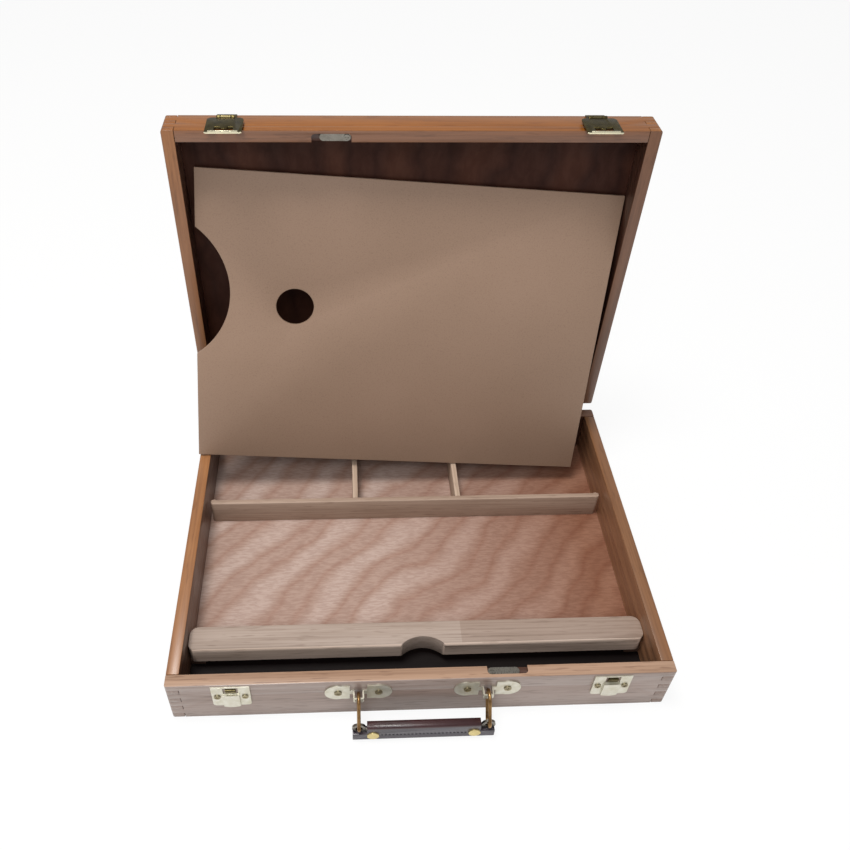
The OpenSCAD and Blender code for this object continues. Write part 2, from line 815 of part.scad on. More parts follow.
// One plate: two round lobes joined by a narrow bridge that is bent out from the wall
module handle_plate(x) {
    lobe_x = staple_w / 2 - lobe_r;
    half = bridge_in / 2 + bridge_t;
    color(brass) translate([x, front_y, handle_z]) difference() {
        union() {
            for (s = [-1, 1]) rotate([90, 0, 0]) linear_extrude(staple_t) {
                translate([s * lobe_x, 0]) circle(lobe_r);
                translate([s > 0 ? half + 2.5 : -lobe_x, -lobe_r + 0.6]) square([lobe_x - half - 2.5, staple_h - 1.2]);
                translate([s > 0 ? bridge_in / 2 : -half - 3, -bridge_h / 2]) square([3 + bridge_t, bridge_h]);
            }
            translate([0, 0, -bridge_h / 2]) linear_extrude(bridge_h) bridge_profile();
        }
        for (t = [-1, 1]) translate([t * staple_screw_x, -staple_t, 0])
            out_of_front() screw_hole(screw_r, staple_t);
    }
}

// Seen from above: a square arch with rounded outer corners
module bridge_profile() {
    half = bridge_in / 2 + bridge_t;
    out = bridge_out + bridge_t / 2;
    difference() {
        union() {
            translate([-half, -out + 1.5]) square([2 * half, out - 1.5]);
            translate([-half + 1.5, -out]) square([2 * half - 3, out]);
            for (s = [-1, 1]) translate([s * (half - 1.5), -out + 1.5]) circle(1.5);
        }
        translate([-bridge_in / 2, -out + bridge_t]) square([bridge_in, out]);
    }
}

module handle_plate_left() { handle_plate(-handle_x); }
module handle_plate_right() { handle_plate(handle_x); }

module handle_plate_screws() {
    for (s = [-1, 1], t = [-1, 1]) color(brass)
        translate([s * handle_x + t * staple_screw_x, front_y - staple_t, handle_z])
            out_of_front() screw(screw_head_r, screw_head_h, screw_r, screw_len);
}

// Wire ring drawn flat round the bridge at the origin: a round top, two legs, small lower bends
module ring_wire() {
    bend_x = ring_half_w - ring_corner_r;
    bend_y = -ring_reach + ring_corner_r;
    top_y = ring_top - ring_half_w;
    translate([0, top_y, 0]) rotate_extrude(angle = 180) translate([ring_half_w, 0]) circle(wire_r);
    translate([-bend_x, -ring_reach, 0]) rotate([0, 90, 0]) cylinder(h = 2 * bend_x, r = wire_r);
    for (s = [0, 1]) mirror([s, 0, 0]) {
        translate([bend_x, bend_y, 0]) rotate([0, 0, -90])
            rotate_extrude(angle = 90) translate([ring_corner_r, 0]) circle(wire_r);
        translate([ring_half_w, bend_y, 0]) rotate([-90, 0, 0]) cylinder(h = top_y - bend_y, r = wire_r);
    }
}

// Ring hooked round the bridge, leaning out and down to the grip
module handle_ring(x) {
    color(brass) translate([x, pivot_y, handle_z]) rotate([-ring_tilt, 0, 0]) rotate([90, 0, 90]) ring_wire();
}

module handle_ring_left() { handle_ring(-handle_x); }
module handle_ring_right() { handle_ring(handle_x); }

// Front view of the grip, with the two upper corners cut away round the eyes
module grip_outline() {
    floor_z = eye_z - notch_drop - grip_z;
    r = 3;
    difference() {
        union() {
            translate([-grip_len / 2 + r, 0]) square([grip_len - 2 * r, grip_h]);
            translate([-grip_len / 2, r]) square([grip_len, grip_h - 2 * r]);
            for (s = [-1, 1]) translate([s * (grip_len / 2 - r), r]) circle(r);
        }
        for (s = [0, 1]) mirror([s, 0])
            translate([handle_x - eye_notch, floor_z]) square([grip_len, grip_h]);
    }
}

// The steel strip inside the leather, ending in two drilled eyes
module core_solid(grow) {
    translate([-handle_x, -core_t / 2 - grow, eye_z - core_h])
        cube([2 * handle_x, core_t + 2 * grow, core_h - 2.6]);
    for (s = [-1, 1]) translate([s * handle_x, core_t / 2 + grow, eye_z])
        rotate([90, 0, 0]) cylinder(h = core_t + 2 * grow, r = eye_r + grow);
}

module grip_core() {
    color(steel) translate([0, grip_y, 0]) difference() {
        core_solid(0);
        for (s = [-1, 1]) translate([s * handle_x, core_t, eye_z])
            rotate([90, 0, 0]) cylinder(h = 2 * core_t, r = eye_hole_r);
        for (s = [-1, 1]) translate([s * rivet_x, core_t, rivet_z])
            rotate([90, 0, 0]) cylinder(h = 2 * core_t, r = rivet_pin_r + screw_play);
    }
}

module grip_leather() {
    color(leather) translate([0, grip_y, 0]) difference() {
        intersection() {
            translate([0, grip_t / 2, grip_z]) rotate([90, 0, 0]) linear_extrude(grip_t) grip_outline();
            translate([-grip_len / 2, -grip_t / 2, grip_z]) rotate([90, 0, 90]) linear_extrude(grip_len) {
                translate([grip_r, 0]) square([grip_t - 2 * grip_r, grip_h]);
                translate([0, grip_r]) square([grip_t, grip_h - 2 * grip_r]);
                for (cy = [grip_r, grip_t - grip_r], cz = [grip_r, grip_h - grip_r])
                    translate([cy, cz]) circle(grip_r);
            }
        }
        core_solid(0.05);
        for (s = [-1, 1]) translate([s * rivet_x, grip_t, rivet_z])
            rotate([90, 0, 0]) cylinder(h = 2 * grip_t, r = rivet_pin_r + screw_play);
    }
}

// Two rivets through leather and core, headed on both sides
module grip_rivets() {
    for (s = [-1, 1]) color(brass) translate([s * rivet_x, grip_y, rivet_z]) rotate([90, 0, 0]) {
        translate([0, 0, -grip_t / 2]) cylinder(h = grip_t, r = rivet_pin_r);
        for (m = [0, 1]) mirror([0, 0, m]) translate([0, 0, grip_t / 2]) cylinder(h = rivet_h, r = rivet_r);
    }
}

// The loose palette, drawn upright and then leaned into the lid
module palette() {
    crescent_r = (crescent_h * crescent_h / 4 + crescent_d * crescent_d) / (2 * crescent_d);
    color(hardboard) translate([palette_x, palette_foot_y, palette_z])
        rotate([0, 0, palette_yaw]) rotate([-palette_tilt, 0, 0]) rotate([0, palette_roll, 0])
            translate([0, palette_t, 0]) rotate([90, 0, 0]) linear_extrude(palette_t) difference() {
                square([palette_w, palette_h]);
                translate([thumb_x, thumb_y]) circle(d = thumb_d);
                translate([crescent_d - crescent_r, crescent_y]) circle(crescent_r, $fn = 160);
            }
}

base_front_wall();
base_back_wall();
base_left_wall();
base_right_wall();
base_floor();
long_partition();
divider_left();
divider_right();
front_bar();
bar_blocks();
base_leaf_left();
base_leaf_right();
hinge_pins();
base_leaf_screws();
handle_plate_left();
handle_plate_right();
handle_plate_screws();
catch_plate_left();
catch_plate_right();
catch_hook_left();
catch_hook_right();
catch_screws();
base_button();
base_button_screw();
lid_front_wall();
lid_back_wall();
lid_left_wall();
lid_right_wall();
lid_panel();
lid_leaf_left();
lid_leaf_right();
lid_leaf_screws();
hasp_plate_left();
hasp_plate_right();
hasp_screws();
hasp_pins();
hasp_flap_left();
hasp_flap_right();
lid_button();
lid_button_screw();
handle_ring_left();
handle_ring_right();
grip_leather();
grip_core();
grip_rivets();
palette();
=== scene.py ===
import json
import math
import bmesh
import bpy
from mathutils import Matrix, Vector


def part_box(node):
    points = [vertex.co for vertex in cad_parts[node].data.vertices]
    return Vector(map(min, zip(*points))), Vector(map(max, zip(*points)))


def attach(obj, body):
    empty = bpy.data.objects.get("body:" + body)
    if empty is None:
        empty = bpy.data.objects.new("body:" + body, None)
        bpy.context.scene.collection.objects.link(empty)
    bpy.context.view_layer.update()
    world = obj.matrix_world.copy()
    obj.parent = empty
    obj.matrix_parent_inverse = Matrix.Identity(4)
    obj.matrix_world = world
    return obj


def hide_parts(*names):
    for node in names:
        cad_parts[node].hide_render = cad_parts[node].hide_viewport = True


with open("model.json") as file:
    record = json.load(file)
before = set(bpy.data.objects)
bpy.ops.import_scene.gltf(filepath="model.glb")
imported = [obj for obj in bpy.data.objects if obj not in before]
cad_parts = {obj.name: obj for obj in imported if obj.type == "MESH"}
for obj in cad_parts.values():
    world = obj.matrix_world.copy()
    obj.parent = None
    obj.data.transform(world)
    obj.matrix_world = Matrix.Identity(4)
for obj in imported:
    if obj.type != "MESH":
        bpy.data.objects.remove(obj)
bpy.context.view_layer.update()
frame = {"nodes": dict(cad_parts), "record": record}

mm = 0.001

# The camera stands where the fitted photograph was taken from: close, high and a little to the left.
# Its focal length and centre are in the picture's pixels, and the shift brings the centre to its place.
picture_width = 850.0
focal_length = 834.8
centre_across = 382.8
centre_down = 403.2
film_width = 36.0
camera_place = (-0.0592, -0.4737, 0.6461)


def in_scene(name, data):
    thing = bpy.data.objects.new(name, data)
    bpy.context.scene.collection.objects.link(thing)
    return thing


camera_data = bpy.data.cameras.new("camera")
camera_data.sensor_width = film_width
camera_data.lens = focal_length / picture_width * film_width
camera_data.shift_x = (picture_width / 2 - centre_across) / picture_width
camera_data.shift_y = (centre_down - picture_width / 2) / picture_width
camera_data.clip_start = 0.01
camera = in_scene("camera", camera_data)
camera_right = Vector((0.9988, -0.0432, 0.0218)).normalized()
camera_back = Vector((-0.0464, -0.7286, 0.6833)).normalized()
camera_up = camera_back.cross(camera_right).normalized()
camera_right = camera_up.cross(camera_back)
camera_turn = Matrix((camera_right, camera_up, camera_back)).transposed().to_4x4()
camera.matrix_world = Matrix.Translation(camera_place) @ camera_turn
bpy.context.scene.camera = camera
bpy.context.scene.view_settings.view_transform = "Standard"


# The case boards are beech, sawn along the grain, finger jointed at the corners and varnished. Each one
# is a softened copy of its solid, with the sharp edges eased as sandpaper leaves them. Each face of a
# board carries a tone of painted light and shade for the way light falls on it; the end grain is darker.
def new_material(name):
    material = bpy.data.materials.new(name)
    material.use_nodes = True
    tree = material.node_tree
    tree.nodes.clear()
    shader = tree.nodes.new("ShaderNodeBsdfPrincipled")
    output = tree.nodes.new("ShaderNodeOutputMaterial")
    tree.links.new(shader.outputs["BSDF"], output.inputs["Surface"])
    return material, tree, shader


def place_pattern(tree, scale, turn=(0, 0, 0), shift=(0, 0, 0)):
    where = tree.nodes.new("ShaderNodeTexCoord")
    mapping = tree.nodes.new("ShaderNodeMapping")
    mapping.inputs["Scale"].default_value = scale
    mapping.inputs["Rotation"].default_value = [math.radians(a) for a in turn]
    mapping.inputs["Location"].default_value = shift
    tree.links.new(where.outputs["Object"], mapping.inputs["Vector"])
    return mapping.outputs["Vector"]


def noise(tree, vector, scale=1.0, detail=4.0, rough=0.55, distortion=0.0):
    node = tree.nodes.new("ShaderNodeTexNoise")
    node.inputs["Scale"].default_value = scale
    node.inputs["Detail"].default_value = detail
    node.inputs["Roughness"].default_value = rough
    node.inputs["Distortion"].default_value = distortion
    tree.links.new(vector, node.inputs["Vector"])
    return node.outputs["Fac"]


def ramp(tree, value, stops):
    node = tree.nodes.new("ShaderNodeValToRGB")
    bar = node.color_ramp
    while len(bar.elements) < len(stops):
        bar.elements.new(0.5)
    for element, (at, colour) in zip(bar.elements, stops):
        element.position = at
        element.color = (*colour, 1.0)
    tree.links.new(value, node.inputs["Fac"])
    return node.outputs["Color"]


def mix(tree, kind, amount, a, b):
    node = tree.nodes.new("ShaderNodeMix")
    node.data_type = "RGBA"
    node.blend_type = kind
    if isinstance(amount, float):
        node.inputs[0].default_value = amount
    else:
        tree.links.new(amount, node.inputs[0])
    for socket, source in ((node.inputs[6], a), (node.inputs[7], b)):
        if isinstance(source, tuple):
            socket.default_value = (*source, 1.0)
        else:
            tree.links.new(source, socket)
    return node.outputs[2]


def bump(tree, shader, height, strength, depth):
    node = tree.nodes.new("ShaderNodeBump")
    node.inputs["Strength"].default_value = strength
    node.inputs["Distance"].default_value = depth
    tree.links.new(height, node.inputs["Height"])
    tree.links.new(node.outputs["Normal"], shader.inputs["Normal"])


def srgb(r, g, b):
    return tuple(pow(c / 255.0, 2.2) for c in (r, g, b))


def place_along(tree, axis):
    where = tree.nodes.new("ShaderNodeTexCoord")
    parts = tree.nodes.new("ShaderNodeSeparateXYZ")
    tree.links.new(where.outputs["Object"], parts.inputs["Vector"])
    return parts.outputs[axis]


over = "GREATER_THAN"
under = "LESS_THAN"


def with_faces(tree, colour, faces):
    """The colour, with another tone on each face that lies over or under a plane."""
    for axis, side, limit, tone in faces:
        test = tree.nodes.new("ShaderNodeMath")
        test.operation = side
        test.inputs[1].default_value = limit
        tree.links.new(place_along(tree, axis), test.inputs[0])
        colour = mix(tree, "MIX", test.outputs["Value"], colour, tone)
    return colour


def drawn_out(along, lengthwise, crosswise):
    """Scales that draw a pattern out along one axis."""
    return tuple(lengthwise if axis == along else crosswise for axis in "xyz")


unshaded = (1.0, 1.0, 1.0)


def grain(tree, along, offset, fleck):
    """Growth bands, pores and short dark flecks of sawn wood, as one shade, and the pores alone."""
    band_place = place_pattern(tree, drawn_out(along, 1.2, 16), shift=offset)
    bands = noise(tree, band_place, scale=2.6, detail=5.0, rough=0.6, distortion=0.9)
    shade = ramp(tree, bands, [(0.3, (0.76, 0.73, 0.7)), (0.5, (0.92, 0.91, 0.9)), (0.7, unshaded)])
    pore_place = place_pattern(tree, drawn_out(along, 10, 700), shift=offset)
    pores = noise(tree, pore_place, detail=3.0, rough=0.6)
    pore_shade = ramp(tree, pores, [(0.34, (0.6, 0.55, 0.5)), (0.56, unshaded)])
    shade = mix(tree, "MULTIPLY", 0.5, shade, pore_shade)
    fleck_place = place_pattern(tree, drawn_out(along, 90, 900), shift=offset)
    flecks = noise(tree, fleck_place, scale=0.55, detail=2.0, rough=0.5)
    fleck_shade = ramp(tree, flecks, [(0.3, (0.45, 0.38, 0.33)), (0.42, unshaded)])
    shade = mix(tree, "MULTIPLY", fleck, shade, fleck_shade)
    return shade, pores


def beech(name, tone, along, roughness=0.38, fleck=0.35, offset=(0, 0, 0), coat=0.25, faces=(),
          streaks=None):
    """Wood of one tone with other tones on the given faces, and slanting streaks where it has any."""
    material, tree, shader = new_material(name)
    colour = with_faces(tree, tone, faces)
    shade, pores = grain(tree, along, offset, fleck)
    colour = mix(tree, "MULTIPLY", 1.0, colour, shade)
    if streaks:
        streak_place = place_pattern(tree, (16, 16, 16), turn=streaks)
        slant = noise(tree, streak_place, detail=2.0, rough=0.5, distortion=0.4)
        streak_shade = ramp(tree, slant, [(0.4, (0.86, 0.83, 0.8)), (0.6, unshaded)])
        colour = mix(tree, "MULTIPLY", 1.0, colour, streak_shade)
    tree.links.new(colour, shader.inputs["Base Color"])
    shader.inputs["Roughness"].default_value = roughness
    shader.inputs["Coat Weight"].default_value = coat
    shader.inputs["Coat Roughness"].default_value = 0.22
    bump(tree, shader, pores, 0.12, 0.2 * mm)
    return material


def cover(piece, material):
    piece.data.materials.clear()
    piece.data.materials.append(material)


def new_piece(name, bm):
    mesh = bpy.data.meshes.new(name)
    bm.to_mesh(mesh)
    bm.free()
    return in_scene(name, mesh)


merge_gap = 0.002 * mm
flat_angle = math.radians(0.5)
crease_angle = math.radians(35)
sharp_angle = math.radians(50)
body_of_node = {n: body for body, names in frame["record"]["behaviour"]["bodies"].items() for n in names}


def eased(node, width, material):
    """A copy of a solid with its sharp edges rounded off by that width, which stands for the solid."""
    bm = bmesh.new()
    bm.from_mesh(frame["nodes"][node].data)
    bmesh.ops.remove_doubles(bm, verts=bm.verts, dist=merge_gap)
    bmesh.ops.dissolve_limit(bm, angle_limit=flat_angle, verts=bm.verts, edges=bm.edges)
    sharp = [e for e in bm.edges if len(e.link_faces) == 2 and e.calc_face_angle(0.0) > sharp_angle]
    bmesh.ops.bevel(bm, geom=sharp, offset=width, offset_type="OFFSET", segments=2, profile=0.5,
                    affect="EDGES", material=-1, clamp_overlap=True)
    bmesh.ops.recalc_face_normals(bm, faces=bm.faces)
    for face in bm.faces:
        face.smooth = True
    piece = new_piece(node + "_eased", bm)
    piece.data.set_sharp_from_angle(angle=crease_angle)
    cover(piece, material)
    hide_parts(node)
    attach(piece, body_of_node[node])
    return piece


# A face's tone starts this far inside the solid, so that it takes in the eased edge.
board_skin = 0.4 * mm
base_low, base_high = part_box("base_front_wall")
case_side = base_high.x - board_skin
base_front = base_low.y + board_skin
base_back = -base_front
base_rim = base_high.z - board_skin
lid_low, lid_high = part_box("lid_left_wall")
lid_rim = lid_low.y + board_skin
lid_back = lid_high.y - board_skin
lid_top = lid_high.z - board_skin
lid_foot = lid_low.z + board_skin

# Painted light and shade on the case faces: the faces towards the front are painted greyer, and the rims are
# painted darker on the right than on the left.
front_face = srgb(157, 138, 129)
side_face = srgb(150, 116, 92)
end_grain = srgb(132, 98, 76)
both_ends = (("X", under, -case_side, end_grain), ("X", over, case_side, end_grain))
lid_outside = ("Y", over, lid_back, side_face)

front_faces = both_ends + (
    ("Z", over, base_rim, srgb(178, 144, 120)),
    ("Y", under, base_front, front_face),
)
left_faces = (
    ("X", under, -case_side, side_face),
    ("Y", over, base_back, end_grain),
    ("Z", over, base_rim, srgb(168, 117, 76)),
    ("Y", under, base_front, front_face),
)
right_faces = (
    ("X", over, case_side, side_face),
    ("Y", over, base_back, end_grain),
    ("Z", over, base_rim, srgb(136, 95, 64)),
    ("Y", under, base_front, srgb(140, 119, 108)),
)
back_faces = both_ends + (
    ("Y", over, base_back, side_face),
    ("Z", over, base_rim, srgb(126, 88, 66)),
)
# The first tone of each base board is its inside face, painted with the shade inside the tray.
front_beech = beech("beech_base_front", srgb(80, 54, 44), "x", roughness=0.36, fleck=0.5, faces=front_faces)
left_beech = beech("beech_base_left", srgb(104, 74, 58), "y", roughness=0.36, offset=(0.3, 0, 0.1),
                   faces=left_faces, streaks=(0, 0, 40))
right_beech = beech("beech_base_right", srgb(150, 108, 80), "y", offset=(0.7, 0, 0.3), faces=right_faces)
back_beech = beech("beech_base_back", srgb(74, 48, 38), "x", roughness=0.4, offset=(0.1, 0.4, 0),
                   faces=back_faces)

# The lid boards' top edges are painted orange as painted light.
lid_front_faces = both_ends + (
    lid_outside,
    ("Y", under, lid_rim, srgb(134, 92, 66)),
    ("Z", over, lid_top, srgb(142, 88, 40)),
)
lid_left_faces = (
    ("Z", under, lid_foot, end_grain),
    ("X", under, -case_side, side_face),
    lid_outside,
    ("Y", under, lid_rim, srgb(152, 104, 68)),
    ("Z", over, lid_top, srgb(142, 88, 40)),
)
lid_right_faces = (
    ("Z", under, lid_foot, end_grain),
    ("X", over, case_side, side_face),
    lid_outside,
    ("Y", under, lid_rim, srgb(120, 84, 62)),
    ("Z", over, lid_top, srgb(142, 92, 48)),
)
lid_back_faces = both_ends + (
    lid_outside,
    ("Z", under, lid_foot, side_face),
)
# The first tone of each lid board is its inside face, painted dark as painted shade.
lid_front_beech = beech("beech_lid_front", srgb(70, 44, 35), "x", roughness=0.3, fleck=0.4,
                        offset=(0.6, 0.2, 0), faces=lid_front_faces)
lid_left_beech = beech("beech_lid_left", srgb(84, 58, 46), "z", roughness=0.36, offset=(0.2, 0.2, 0),
                       faces=lid_left_faces, streaks=(0, 40, 0))
lid_right_beech = beech("beech_lid_right", srgb(78, 52, 42), "z", offset=(0.9, 0.2, 0), faces=lid_right_faces)
lid_back_beech = beech("beech_lid_back", srgb(70, 46, 38), "x", roughness=0.4, offset=(0.1, 0.9, 0),
                       faces=lid_back_faces)

board_ease = 0.35 * mm
wood_of_board = {
    "base_front_wall": front_beech,
    "base_back_wall": back_beech,
    "base_left_wall": left_beech,
    "base_right_wall": right_beech,
    "lid_front_wall": lid_front_beech,
    "lid_back_wall": lid_back_beech,
    "lid_left_wall": lid_left_beech,
    "lid_right_wall": lid_right_beech,
}
for board, wood in wood_of_board.items():
    eased(board, board_ease, wood)


# The floor of the tray and the lid's panel are thin plywood, let into rebates in the boards. The floor
# is rotary cut, pink and beige with ripples across the grain, partly figure and partly painted sheen; it
# is redder to the right, and painted in deep shade in front of the bar. The lid's panel is painted
# nearly black inside as painted shade.
redden_from = -30 * mm
redden_to = 170 * mm
bar_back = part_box("front_bar")[1].y
panel_low, panel_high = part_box("lid_panel")
panel_middle = (panel_low.y + panel_high.y) / 2


def patchy_roughness(tree, shader, pattern, smooth, rough):
    stops = [(0.3, (rough,) * 3), (0.7, (smooth,) * 3)]
    tree.links.new(ramp(tree, pattern, stops), shader.inputs["Roughness"])


def plywood(name, pale, pink, deep, roughness, reddening, faces):
    material, tree, shader = new_material(name)
    wave = tree.nodes.new("ShaderNodeTexWave")
    wave.wave_type = "BANDS"
    wave.bands_direction = "X"
    wave.inputs["Scale"].default_value = 6.5
    wave.inputs["Distortion"].default_value = 5.5
    wave.inputs["Detail"].default_value = 3.0
    wave.inputs["Detail Scale"].default_value = 1.1
    wave.inputs["Detail Roughness"].default_value = 0.55
    tree.links.new(place_pattern(tree, (1, 1, 1), turn=(0, 0, 42)), wave.inputs["Vector"])
    colour = ramp(tree, wave.outputs["Fac"], [(0.1, pink), (0.35, deep), (0.6, pink), (0.95, pale)])
    slope = tree.nodes.new("ShaderNodeMapRange")
    slope.inputs["From Min"].default_value = redden_from
    slope.inputs["From Max"].default_value = redden_to
    tree.links.new(place_along(tree, "X"), slope.inputs["Value"])
    redder = ramp(tree, slope.outputs["Result"], [(0.0, unshaded), (1.0, (0.58, 0.38, 0.28))])
    colour = mix(tree, "MULTIPLY", reddening, colour, redder)
    colour = with_faces(tree, colour, faces)
    # The ripples are the veneer's figure and also a painted sheen, as lighter and darker bands in the colour.
    ripple_place = place_pattern(tree, (130, 620, 60), turn=(0, 0, -4))
    ripple = noise(tree, ripple_place, detail=2.0, rough=0.6, distortion=0.4)
    ripple_figure_and_sheen = ramp(tree, ripple, [(0.4, (0.78, 0.72, 0.7)), (0.6, unshaded)])
    colour = mix(tree, "MULTIPLY", 0.7, colour, ripple_figure_and_sheen)
    tree.links.new(colour, shader.inputs["Base Color"])
    patchy_roughness(tree, shader, ripple, smooth=roughness, rough=roughness + 0.14)
    shader.inputs["Specular IOR Level"].default_value = 0.2
    bump(tree, shader, ripple, 0.1, 0.2 * mm)
    return material


# Painted shade: the floor in front of the bar is painted near black.
shaded_floor = ("Y", under, bar_back, srgb(20, 9, 7))
panel_outside = ("Y", over, panel_middle, side_face)
floor_ply = plywood("floor_plywood", pale=srgb(186, 163, 152), pink=srgb(173, 146, 133),
                    deep=srgb(165, 134, 120), roughness=0.5, reddening=1.0, faces=(shaded_floor,))
# Painted shade: the panel's inside is painted nearly black, and its outside takes the lighter outside tone.
panel_ply = plywood("lid_panel_plywood", pale=srgb(70, 42, 31), pink=srgb(60, 35, 26),
                    deep=srgb(52, 29, 21), roughness=0.6, reddening=0.2, faces=(panel_outside,))
for name, material in (("base_floor", floor_ply), ("lid_panel", panel_ply)):
    solid = frame["nodes"][name]
    cover(solid, material)


# The bar, partition and dividers are bare offcuts of pale wood, dry and finely grained, planed square
# and only eased along their edges. The bar is paler to the left and darker to the right, and its front
# face is painted much paler than its top as painted light.
strip_ease = 0.35 * mm
bar_ease = 0.5 * mm
bar_darker_from = 36.0 * mm
bar_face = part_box("front_bar")[0].y + 1.4 * mm


def bare_strip(name, tone, along, offset, faces=()):
    return beech(name, tone, along, roughness=0.62, fleck=0.4, offset=offset, coat=0.0, faces=faces)


# Painted light on the bar's front face; the bar's right part is darker.
bar_faces = (
    ("X", over, bar_darker_from, srgb(163, 143, 130)),
    ("Y", under, bar_face, srgb(222, 200, 184)),
)
bar_wood = bare_strip("bar_strip", srgb(176, 158, 146), "x", (0.4, 0.5, 0.2), faces=bar_faces)
partition_wood = bare_strip("raw_strip", srgb(174, 150, 133), "x", (0.4, 0.1, 0.2))
divider_wood = bare_strip("raw_strip_short", srgb(190, 166, 146), "y", (0.6, 0.1, 0.2))
block_wood = bare_strip("block_strip", srgb(92, 70, 58), "x", (0.4, 0.9, 0.2))
eased("front_bar", bar_ease, bar_wood)
eased("long_partition", strip_ease, partition_wood)
eased("divider_left", strip_ease, divider_wood)
eased("divider_right", strip_ease, divider_wood)
eased("bar_blocks", strip_ease, block_wood)


# The palette is plain hardboard, sawn out with its thumb hole and left bare: a brown felt of fine
# fibres with darker specks, rubbed round along the edges.
palette_ease = 0.4 * mm


def hardboard(name):
    material, tree, shader = new_material(name)
    cloud = noise(tree, place_pattern(tree, (7, 7, 7)), detail=3.0, rough=0.5)
    colour = ramp(tree, cloud, [(0.3, srgb(142, 116, 97)), (0.7, srgb(150, 123, 104))])
    fibres = noise(tree, place_pattern(tree, (900, 900, 900)), detail=3.0, rough=0.7)
    speck = ramp(tree, fibres, [(0.3, (0.72, 0.68, 0.64)), (0.5, unshaded)])
    colour = mix(tree, "MULTIPLY", 0.6, colour, speck)
    tree.links.new(colour, shader.inputs["Base Color"])
    shader.inputs["Roughness"].default_value = 0.6
    bump(tree, shader, fibres, 0.15, 0.2 * mm)
    return material


eased("palette", palette_ease, hardboard("palette_hardboard"))


# The fittings are pressed from thin sheet, plated and screwed to the boards: pale brass on the base and
# the hinges, darker brass in the latches, wire rings of reddish brass, and turn buttons of dull steel.
def plated(name, bright, dull, rough, metal=1.0, waviness=0.4, faces=()):
    """Smooth plating with duller patches and faint rubbing marks."""
    material, tree, shader = new_material(name)
    patches = noise(tree, place_pattern(tree, (160, 160, 160)), rough=0.6)
    colour = ramp(tree, patches, [(0.35, dull), (0.65, bright)])
    tree.links.new(with_faces(tree, colour, faces), shader.inputs["Base Color"])
    rub_place = place_pattern(tree, (3000, 500, 700), turn=(0, 20, 35))
    rubbed = noise(tree, rub_place, detail=2.0, rough=0.6)
    patchy_roughness(tree, shader, rubbed, smooth=rough, rough=rough + 0.16)
    shader.inputs["Metallic"].default_value = metal
    bump(tree, shader, patches, 0.06 * waviness, 0.4 * mm)
    return material


pale_brass = plated("pale_brass", bright=srgb(210, 207, 194), dull=srgb(194, 189, 170),
                    rough=0.28, metal=0.8, waviness=0.2)
dark_brass = plated("dark_brass", bright=srgb(118, 108, 78), dull=srgb(84, 76, 54), rough=0.24)
ring_brass = plated("ring_brass", bright=srgb(160, 126, 84), dull=srgb(112, 84, 54), rough=0.26, metal=0.9)
old_steel = plated("old_steel", bright=srgb(138, 134, 126), dull=srgb(122, 118, 110),
                   rough=0.24, waviness=0.1)
screw_steel = plated("screw_steel", bright=srgb(168, 158, 130), dull=srgb(132, 122, 98), rough=0.3)

nodes_of_metal = {
    pale_brass: (
        "handle_plate_left", "handle_plate_right", "catch_plate_left", "catch_plate_right",
        "base_leaf_left", "base_leaf_right", "lid_leaf_left", "lid_leaf_right",
        "base_leaf_screws", "lid_leaf_screws"),
    dark_brass: (
        "catch_hook_left", "catch_hook_right", "hinge_pins", "hasp_plate_left", "hasp_plate_right",
        "hasp_screws", "hasp_pins"),
    screw_steel: ("handle_plate_screws", "catch_screws"),
    ring_brass: ("handle_ring_left", "handle_ring_right"),
    old_steel: ("base_button", "lid_button", "base_button_screw", "lid_button_screw", "grip_core"),
}
for metal, names in nodes_of_metal.items():
    for name in names:
        solid = frame["nodes"][name]
        cover(solid, metal)


# The two flaps of the latches are stamped from darker brass, and each hangs on its pin at the lid's
# front. The bent lip that the thumb lifts carries a painted highlight, a pale cream band.
flap_ease = 0.22 * mm
lip_width = 1.05 * mm
lip_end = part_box("hasp_flap_left")[0].y + lip_width
# Painted highlight: a pale cream band on the flap's bent lip.
painted_lip_highlight = ("Y", under, lip_end, srgb(236, 228, 196))
flap_brass = plated("flap_brass", bright=srgb(104, 94, 62), dull=srgb(78, 70, 46), rough=0.2,
                    faces=(painted_lip_highlight,))
for side in ("left", "right"):
    eased("hasp_flap_" + side, flap_ease, flap_brass)


# The grip is a steel strip wrapped in burgundy leather, closed with two brass rivets and a stitched
# seam between them. It stands on its edge on the table.
leather_ease = 1.5 * mm
fold_depth = 2.9 * mm
grip_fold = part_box("grip_leather")[1].z - fold_depth
rivet_low, rivet_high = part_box("grip_rivets")
stitch_height = (rivet_low.z + rivet_high.z) / 2
stitch_step = 3.0 * mm
stitches_each_side = 11
stitch_half_size = (1.05 * mm, 0.3 * mm, 0.38 * mm)


def hide(name):
    material, tree, shader = new_material(name)
    cells = tree.nodes.new("ShaderNodeTexVoronoi")
    cells.feature = "F1"
    cells.inputs["Scale"].default_value = 900.0
    tree.links.new(place_pattern(tree, (1, 1, 1)), cells.inputs["Vector"])
    tone = noise(tree, place_pattern(tree, (60, 60, 60)), detail=3.0, rough=0.6)
    top = ramp(tree, tone, [(0.3, srgb(46, 18, 20)), (0.7, srgb(58, 25, 28))])
    front = ramp(tree, tone, [(0.3, srgb(44, 36, 46)), (0.7, srgb(56, 47, 58))])
    colour = with_faces(tree, front, (("Z", over, grip_fold, top),))
    tree.links.new(colour, shader.inputs["Base Color"])
    shader.inputs["Roughness"].default_value = 0.34
    shader.inputs["Coat Weight"].default_value = 0.3
    shader.inputs["Coat Roughness"].default_value = 0.2
    bump(tree, shader, cells.outputs["Distance"], 0.25, 0.3 * mm)
    return material


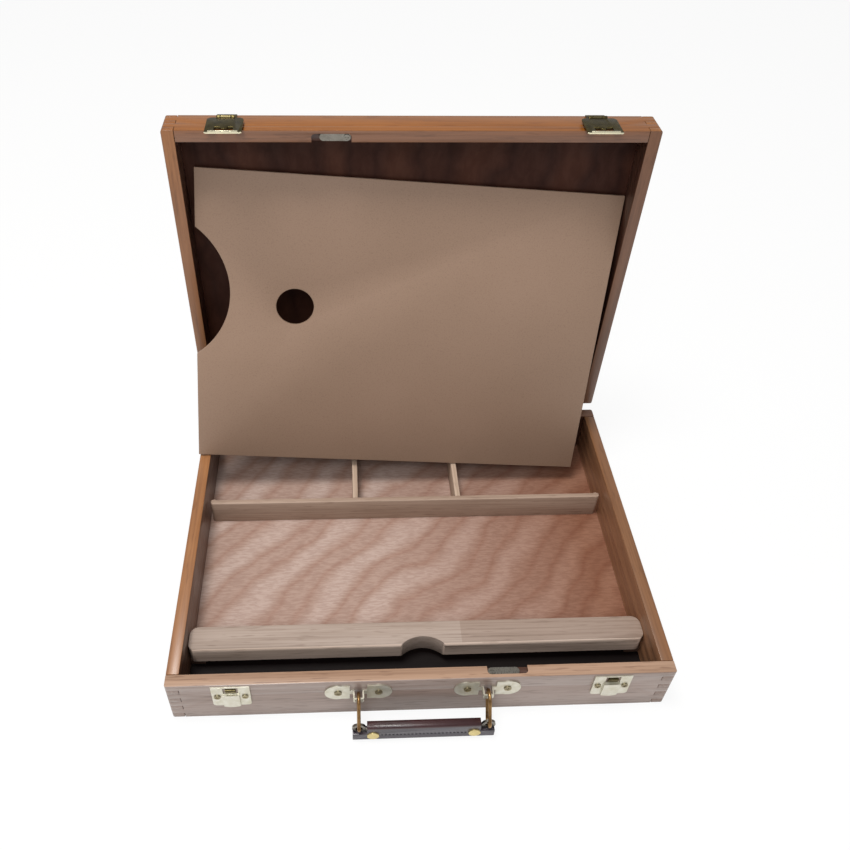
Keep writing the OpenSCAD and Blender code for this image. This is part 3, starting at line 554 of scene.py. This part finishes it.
leather = eased("grip_leather", leather_ease, hide("grip_leather_hide"))
grip_front = min(v.co.y for v in leather.data.vertices)
bm = bmesh.new()
for count in range(-stitches_each_side, stitches_each_side + 1):
    place = Matrix.Translation((count * stitch_step, grip_front, stitch_height))
    size = Matrix.Diagonal((*stitch_half_size, 1.0))
    bmesh.ops.create_icosphere(bm, subdivisions=2, radius=1.0, matrix=place @ size)
for face in bm.faces:
    face.smooth = True
seam = new_piece("grip_stitches", bm)
thread, tree, shader = new_material("waxed_thread")
shader.inputs["Base Color"].default_value = (*srgb(24, 20, 30), 1.0)
shader.inputs["Roughness"].default_value = 0.6
cover(seam, thread)
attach(seam, body_of_node["grip_leather"])

gold_brass = plated("gold_brass", bright=srgb(218, 200, 140), dull=srgb(200, 180, 120),
                    rough=0.3, metal=0.7, waviness=0.2)
rivets = frame["nodes"]["grip_rivets"]
cover(rivets, gold_brass)


# The ground is a plain pale sheet that carries the box's shadow, under soft studio light: a lamp
# overhead, a weaker one from the front and an even white surrounding. The camera sees both nearly white.
ground_half_width = 6.0
ground_white = 0.94
white_for_camera = 0.88
room_light = 0.45

bm = bmesh.new()
bmesh.ops.create_grid(bm, x_segments=1, y_segments=1, size=ground_half_width)
floor = new_piece("studio_floor", bm)
floor_material, tree, shader = new_material("studio_white")
shader.inputs["Base Color"].default_value = (ground_white, ground_white, ground_white, 1.0)
shader.inputs["Roughness"].default_value = 0.9
glow = tree.nodes.new("ShaderNodeEmission")
glow.inputs["Color"].default_value = (1, 1, 1, 1)
glow.inputs["Strength"].default_value = 1.0
rays = tree.nodes.new("ShaderNodeLightPath")
seen = tree.nodes.new("ShaderNodeMath")
seen.operation = "MULTIPLY"
seen.inputs[1].default_value = white_for_camera
tree.links.new(rays.outputs["Is Camera Ray"], seen.inputs[0])
blend = tree.nodes.new("ShaderNodeMixShader")
tree.links.new(seen.outputs["Value"], blend.inputs["Fac"])
tree.links.new(shader.outputs["BSDF"], blend.inputs[1])
tree.links.new(glow.outputs["Emission"], blend.inputs[2])
output = next(n for n in tree.nodes if n.type == "OUTPUT_MATERIAL")
tree.links.new(blend.outputs["Shader"], output.inputs["Surface"])
cover(floor, floor_material)

world = bpy.data.worlds.new("studio")
bpy.context.scene.world = world
world.use_nodes = True
air = world.node_tree
air.nodes.clear()
room = air.nodes.new("ShaderNodeBackground")
room.inputs["Color"].default_value = (1, 1, 1, 1)
room.inputs["Strength"].default_value = room_light
white = air.nodes.new("ShaderNodeBackground")
white.inputs["Color"].default_value = (1, 1, 1, 1)
white.inputs["Strength"].default_value = 1.0
path = air.nodes.new("ShaderNodeLightPath")
either = air.nodes.new("ShaderNodeMath")
either.operation = "MAXIMUM"
air.links.new(path.outputs["Is Camera Ray"], either.inputs[0])
air.links.new(path.outputs["Is Transmission Ray"], either.inputs[1])
choose = air.nodes.new("ShaderNodeMixShader")
air.links.new(either.outputs["Value"], choose.inputs["Fac"])
air.links.new(room.outputs["Background"], choose.inputs[1])
air.links.new(white.outputs["Background"], choose.inputs[2])
surround = air.nodes.new("ShaderNodeOutputWorld")
air.links.new(choose.outputs["Shader"], surround.inputs["Surface"])


def soft_lamp(name, place, aim, size, power, colour):
    data = bpy.data.lights.new(name, "AREA")
    data.shape = "DISK"
    data.size = size
    data.energy = power
    data.color = colour
    lamp = in_scene(name, data)
    lamp.location = place
    lamp.rotation_euler = (Vector(aim) - Vector(place)).to_track_quat("-Z", "Y").to_euler()


box_middle = (0, 0, 0.1)
soft_lamp("key_lamp", (-0.35, -0.05, 1.9), box_middle, size=0.6, power=22.0, colour=(1.0, 0.98, 0.95))
soft_lamp("fill_lamp", (-0.35, -1.3, 1.8), box_middle, size=0.8, power=13.0, colour=(0.96, 0.98, 1.0))
